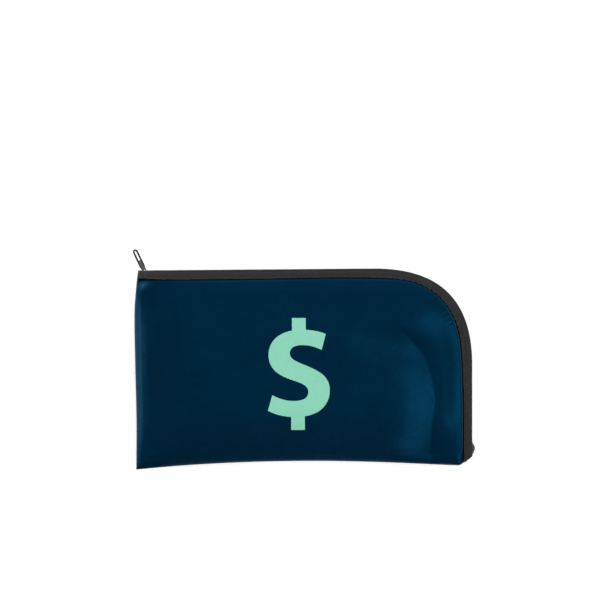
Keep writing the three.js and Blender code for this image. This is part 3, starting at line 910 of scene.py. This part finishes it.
def pull_loop():
    across, up, through = pull_axes()
    pivot = np.array([*PULL_PIVOT, SEAM_Z])
    turn = np.linspace(0, math.pi, 15)[1:-1, None]
    top = PULL_ROUND * np.hstack([np.cos(turn), np.sin(turn)]) + (0, PULL_LOOP[-1, 1])
    left = PULL_LOOP[::-1] * (-1, 1)
    flat = resample(np.vstack([PULL_LOOP, top, left]), 150)
    radii = PULL_EYE_WIRE + (PULL_WIRE - PULL_EYE_WIRE) * fade_in(flat[:, 1], (3.2, 3))
    path = pivot + flat[:, :1] * across + flat[:, 1:] * up
    vertices, faces = tube_parts(path, np.tile(through, (len(path), 1)), radii, 14)
    loop = add_object("pull_loop", vertices, faces, 40)
    wide, deep = ((-half, half) for half in PULL_WEB_HALF)
    x, y, z = (part.reshape(-1, 1) for part in np.meshgrid(wide, PULL_WEB, deep, indexing="ij"))
    corners = pivot + x * across + y * up + z * through
    sides = [[0, 1, 3, 2], [4, 6, 7, 5], [0, 4, 5, 1], [2, 3, 7, 6], [0, 2, 6, 4], [1, 5, 7, 3]]
    apply_boolean(loop, add_object("web", corners, sides), "UNION")
    shade_round(loop, 40)
    made = np.array([tuple(v.co) for v in loop.data.vertices]) / MM - pivot
    # painted shade: the whole pull a little darker, its right wire most
    add_share(loop, "dull", 0.4 + 0.6 * fade_in(made @ across, (1.2, 1.2)))
    return loop


pull = pull_loop()

# ---- Materials ----


def fill_ramp(node, stops):
    elements = node.color_ramp.elements
    while len(elements) < len(stops):
        elements.new(0.5)
    for element, (position, colour) in zip(elements, stops):
        element.position = position
        element.color = (*colour, 1)


class Maker:
    """A node material around one Principled shader."""

    def __init__(self, name, **values):
        self.material = bpy.data.materials.new(name)
        self.material.use_nodes = True
        self.tree = self.material.node_tree
        self.shader = self.tree.nodes["Principled BSDF"]
        for socket, value in values.items():
            self.shader.inputs[socket.replace("_", " ")].default_value = value
        self.place = self.node("ShaderNodeTexCoord").outputs["Object"]

    def node(self, kind, inputs=None, **settings):
        made = self.tree.nodes.new(kind)
        for key, value in settings.items():
            setattr(made, key, value)
        for socket, value in (inputs or {}).items():
            if isinstance(value, bpy.types.NodeSocket):
                self.tree.links.new(value, made.inputs[socket])
            else:
                made.inputs[socket].default_value = value
        return made

    def link(self, output, socket):
        self.tree.links.new(output, self.shader.inputs[socket])

    def share(self, name):
        """A value that the mesh holds at each of its points."""
        return self.node("ShaderNodeAttribute", attribute_name=name).outputs["Fac"]

    def noise(self, size_mm, detail=2.0, roughness=0.5, place=None):
        values = {
            "Vector": place or self.place,
            "Scale": 1 / (size_mm * MM),
            "Detail": detail,
            "Roughness": roughness,
        }
        return self.node("ShaderNodeTexNoise", values).outputs["Fac"]

    def cells(self, size_mm):
        values = {"Vector": self.place, "Scale": 1 / (size_mm * MM), "Smoothness": 0.6}
        return self.node("ShaderNodeTexVoronoi", values, feature="SMOOTH_F1").outputs["Distance"]

    def ranged(self, value, low, high, start=0.0, end=1.0):
        values = {"Value": value, "From Min": start, "From Max": end, "To Min": low, "To Max": high}
        return self.node("ShaderNodeMapRange", values).outputs["Result"]

    def ramp(self, value, stops):
        made = self.node("ShaderNodeValToRGB", {"Fac": value})
        fill_ramp(made, stops)
        return made.outputs["Color"]

    def math(self, operation, a, b=0.0):
        made = self.node("ShaderNodeMath", operation=operation)
        for socket, value in zip(made.inputs, (a, b)):
            if isinstance(value, bpy.types.NodeSocket):
                self.tree.links.new(value, socket)
            else:
                socket.default_value = value
        return made.outputs[0]

    def bump(self, height, depth_mm, strength=1.0, after=None):
        values = {"Height": height, "Distance": depth_mm * MM, "Strength": strength}
        if after is not None:
            values["Normal"] = after
        return self.node("ShaderNodeBump", values).outputs["Normal"]


def tinted(colour, factor):
    return tuple(c * factor for c in colour)


def grey(value):
    return (value, value, value)


VINYL_COLOUR = (0.0001, 0.0141, 0.0345)
# paler blue of the left edge: partly wear, partly a painted highlight
WORN_HIGHLIGHT_COLOUR = (0.002, 0.028, 0.058)
VINYL_SHEEN = (0.02, 0.45, 0.95, 1)  # what the clear top coat mirrors is blue
PEBBLE = 0.75  # size of the embossed grain


def vinyl_material():
    """Soft dark blue vinyl: paler along the left edge, partly wear and partly a painted highlight;
    painted shadow beside the band and painted shade along the bottom edge.
    """
    base = VINYL_COLOUR
    m = Maker("vinyl", Specular_Tint=VINYL_SHEEN)
    worn = m.share("worn")
    tucked = m.share("tucked")
    under = m.share("under")
    cloud = m.noise(26, 3)
    # wear and a painted highlight lighten the left edge
    shade = m.math("ADD", m.ranged(cloud, 0.4, 0.6, 0.3, 0.7), m.math("MULTIPLY", worn, 0.3))
    # painted shadow darkens the vinyl beside the band's inner edge
    shade = m.math("SUBTRACT", shade, m.math("MULTIPLY", tucked, 0.55))
    # painted shade along the bottom edge darkens the colour and takes away the specular reflection
    shade = m.math("SUBTRACT", shade, m.math("MULTIPLY", under, 0.45))
    m.link(m.ranged(under, 0.5, 0.0), "Specular IOR Level")
    # the ramp runs from the dark painted shade up to the paler blue of the left edge's wear and painted
    # highlight
    stops = [(0, tinted(base, 0.3)), (0.4, tinted(base, 0.93)), (0.6, tinted(base, 1.07))]
    m.link(m.ramp(shade, [*stops, (1, WORN_HIGHLIGHT_COLOUR)]), "Base Color")
    grain = m.cells(PEBBLE)
    fine = m.noise(0.35, 3, 0.6)
    blotches = m.ranged(m.noise(6, 4), 0.21, 0.28, 0.3, 0.7)
    rough = m.math("ADD", blotches, m.math("MULTIPLY", fine, 0.04))
    m.link(m.math("ADD", rough, m.math("MULTIPLY", worn, 0.3)), "Roughness")
    slow = m.bump(m.noise(9, 2), 0.03, 0.6)
    pebble = m.bump(grain, 0.02, 0.5, slow)
    m.link(m.bump(fine, 0.008, 0.4, pebble), "Normal")
    return m.material


def ink_material():
    """Mint screen-printing ink that lets the vinyl's grain show."""
    m = Maker("ink", Specular_IOR_Level=0.35)
    stops = [(0.3, (0.243, 0.625, 0.462)), (0.7, (0.259, 0.653, 0.485))]
    m.link(m.ramp(m.noise(7, 4), stops), "Base Color")
    m.link(m.ranged(m.noise(1.2, 3), 0.48, 0.62, 0.3, 0.7), "Roughness")
    grain = m.bump(m.cells(PEBBLE), 0.02, 0.4)
    m.link(m.bump(m.noise(0.3, 3), 0.01, 0.4, grain), "Normal")
    return m.material


WEFT_PITCH = 0.62
WARP_PITCH = 0.5


def tape_material():
    """Woven polyester twill that runs along the zipper."""
    m = Maker("tape", Sheen_Weight=0.25, Sheen_Roughness=0.5, Specular_IOR_Level=0.25)
    weave = m.node("ShaderNodeUVMap", uv_map="weave").outputs["UV"]
    parts = m.node("ShaderNodeSeparateXYZ", {"Vector": weave})
    along = m.math("MULTIPLY", parts.outputs["X"], 2 * math.pi / (WEFT_PITCH * MM))
    across = m.math("MULTIPLY", parts.outputs["Y"], 2 * math.pi / (WARP_PITCH * MM))
    ribs = m.math("SINE", across)
    twill = m.math("SINE", m.math("ADD", along, m.math("MULTIPLY", across, 0.5)))
    thread = m.math("ADD", m.math("MULTIPLY", ribs, 0.6), twill)
    stops = [(0.0, grey(0.014)), (0.7, (0.026, 0.0255, 0.0255)), (1.0, (0.050, 0.048, 0.048))]
    threads = m.ranged(thread, 0.1, 0.6, -1.6, 1.6)
    shade = m.math("ADD", threads, m.ranged(m.noise(5, 4), 0, 0.2, 0.3, 0.7))
    # lighter at the left end and along the crest, where the lightening is a painted highlight
    shade = m.math("ADD", shade, m.share("faded"))
    m.link(m.ramp(shade, stops), "Base Color")
    m.link(m.ranged(m.noise(0.6, 3), 0.78, 0.95), "Roughness")
    fuzz = m.bump(m.noise(0.18, 3, 0.7), 0.03, 0.6)
    m.link(m.bump(thread, 0.05, 0.8, fuzz), "Normal")
    return m.material


def thread_material():
    """Black twisted polyester thread."""
    m = Maker("thread", Specular_IOR_Level=0.35)
    stops = [(0.2, (0.014, 0.014, 0.015)), (0.8, (0.034, 0.033, 0.034))]
    m.link(m.ramp(m.noise(0.5, 3), stops), "Base Color")
    m.link(m.ranged(m.noise(0.3, 2), 0.55, 0.8), "Roughness")
    twist = m.node(
        "ShaderNodeTexWave",
        {"Vector": m.place, "Scale": 1 / (1.6 * MM), "Distortion": 1.5, "Detail": 1.0},
        bands_direction="DIAGONAL",
    ).outputs["Fac"]
    m.link(m.bump(twist, 0.03, 0.7), "Normal")
    return m.material


def coil_material():
    """Black nylon monofilament."""
    m = Maker("coil", Specular_IOR_Level=0.5)
    stops = [(0.2, (0.010, 0.010, 0.011)), (0.8, (0.024, 0.023, 0.024))]
    m.link(m.ramp(m.noise(2.5, 3), stops), "Base Color")
    m.link(m.ranged(m.noise(0.8, 3), 0.3, 0.5), "Roughness")
    m.link(m.bump(m.noise(0.25, 2), 0.01, 0.5), "Normal")
    return m.material


def metal_material():
    """Dark plated die-cast metal with blotchy wear; on the pull, painted shade darkens the whole piece a
    little and its right wire most.
    """
    m = Maker("gunmetal", Metallic=1.0)
    blotch = m.noise(1.6, 4, 0.6)
    # painted shade on the pull, darkest on its right wire
    dull = m.math("MULTIPLY", m.share("dull"), 0.5)
    shade = m.math("SUBTRACT", m.ranged(blotch, 0.5, 1.0, 0.3, 0.75), dull)
    stops = [(0, (0.030, 0.030, 0.032)), (0.5, (0.085, 0.085, 0.088)), (1, (0.150, 0.148, 0.148))]
    m.link(m.ramp(shade, stops), "Base Color")
    turned = {"Vector": m.place, "Rotation": (0, 0, 0.4), "Scale": (1, 9, 1)}
    stretched = m.node("ShaderNodeMapping", turned).outputs["Vector"]
    scratches = m.noise(1.1, 5, 0.7, stretched)
    m.link(m.math("ADD", m.ranged(blotch, 0.28, 0.42), m.math("MULTIPLY", scratches, 0.1)), "Roughness")
    cast = m.bump(m.noise(0.45, 3), 0.025, 0.6)
    m.link(m.bump(scratches, 0.01, 0.5, cast), "Normal")
    return m.material


def floor_material():
    """A pale floor that glows a little, so that it stays white in the view."""
    glow = (1, 1, 1, 1)
    m = Maker("floor", Roughness=0.9, Specular_IOR_Level=0.0, Emission_Strength=0.5, Emission_Color=glow)
    m.link(m.ramp(m.noise(300, 3), [(0, grey(0.80)), (1, grey(0.83))]), "Base Color")
    return m.material


vinyl = vinyl_material()
ink = ink_material()
tape = tape_material()
thread = thread_material()
nylon = coil_material()
gunmetal = metal_material()

# ---- The metal pieces keep their CAD shapes, with softened edges ----


def give(piece, material):
    if piece.material_slots:
        for place in piece.material_slots:
            place.material = material
    else:
        piece.data.materials.append(material)


def soften(piece, width):
    bevel = piece.modifiers.new("soft_edges", "BEVEL")
    bevel.width = width * MM
    bevel.segments = 2
    bevel.limit_method = "ANGLE"
    bevel.angle_limit = math.radians(35)


for node, width in (
    ("slider_body", 0.12),
    ("front_top_stop", 0.1),
    ("back_top_stop", 0.1),
    ("bottom_stop", 0.15),
):
    give(bpy.data.objects[node], gunmetal)
    soften(bpy.data.objects[node], width)
for node in ("left_seam_thread", "bottom_seam_thread"):
    give(bpy.data.objects[node], thread)

# ---- What each new piece rides on, stands for and is made of ----

for piece, node, slot, material in (
    (front_vinyl, "front_panel", "vinyl", vinyl),
    (back_vinyl, "back_panel", "vinyl", vinyl),
    (ink_sign, "printed_sign", "ink", ink),
    (front_band, "front_tape", "tape", tape),
    (back_band, "back_tape", "tape", tape),
    (front_loops, "front_coil", "coil", nylon),
    (back_loops, "back_coil", "coil", nylon),
    (front_stitches, "front_tape_stitching", "thread", thread),
    (back_stitches, "back_tape_stitching", "thread", thread),
):
    give(piece, material)
    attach(piece, "bag")
    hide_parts(node)
give(pull, gunmetal)
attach(pull, "pull")
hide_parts("pull_tab")

# ---- Floor and light ----

FLOOR_HALF = 12.0
FLOOR_Z = -0.05


def make_floor():
    half = FLOOR_HALF / MM
    plan = [(-half, -half), (half, -half), (half, half), (-half, half)]
    corners = [(x, y, FLOOR_Z) for x, y in plan]
    floor = add_object("floor", corners, [[0, 1, 2, 3]])
    give(floor, floor_material())


WORLD_TILT = 0.4  # the sky looks lower towards +Y, and so brighter there, by this much
WORLD_STRENGTH = 1.3
WORLD_STOPS = ((0.0, 1.0), (0.2, 0.8), (0.45, 0.28), (0.7, 0.06), (1.0, 0.02))  # horizon to zenith


def make_world():
    """A white studio: dark overhead, bright towards the walls."""
    world = bpy.data.worlds.new("studio")
    world.use_nodes = True
    bpy.context.scene.world = world
    nodes = world.node_tree.nodes
    links = world.node_tree.links
    place = nodes.new("ShaderNodeTexCoord")
    parts = nodes.new("ShaderNodeSeparateXYZ")
    tilt = nodes.new("ShaderNodeMath")
    tilt.operation = "MULTIPLY_ADD"
    tilt.inputs[1].default_value = -WORLD_TILT
    ramp = nodes.new("ShaderNodeValToRGB")
    links.new(place.outputs["Generated"], parts.inputs[0])
    links.new(parts.outputs["Y"], tilt.inputs[0])
    links.new(parts.outputs["Z"], tilt.inputs[2])
    links.new(tilt.outputs[0], ramp.inputs[0])
    links.new(ramp.outputs["Color"], nodes["Background"].inputs["Color"])
    nodes["Background"].inputs["Strength"].default_value = WORLD_STRENGTH
    fill_ramp(ramp, [(position, grey(value)) for position, value in WORLD_STOPS])


def make_lamp(name, place, along, size, power, glossy):
    """A softbox aimed at the bag: size is its width, and its length in the direction along.
    One that isn't glossy only fills: no surface mirrors it."""
    data = bpy.data.lights.new(name, "AREA")
    data.shape = "RECTANGLE"
    data.size, data.size_y = size
    data.energy = power
    lamp = bpy.data.objects.new(name, data)
    back = Vector(place).normalized()
    across = Vector(along).cross(back).normalized()
    turn = Matrix((across, back.cross(across), back)).transposed()
    lamp.matrix_world = Matrix.Translation(place) @ turn.to_4x4()
    lamp.visible_camera = False
    lamp.visible_glossy = glossy
    bpy.context.scene.collection.objects.link(lamp)


make_floor()
make_world()
make_lamp("overhead_fill", (0, 0.1, 3.5), (0, 1, 0), (3, 3), 88, False)
make_lamp("right_softbox", (1.05, -0.8, 2.3), (-0.08, 1, 0), (0.42, 3.0), 11.5, True)
make_lamp("left_softbox", (-2.4, 0.8, 0.85), (0, 1, 0), (0.45, 3.0), 9, True)

view = bpy.context.scene.view_settings
view.view_transform = "Standard"
view.look = "None"
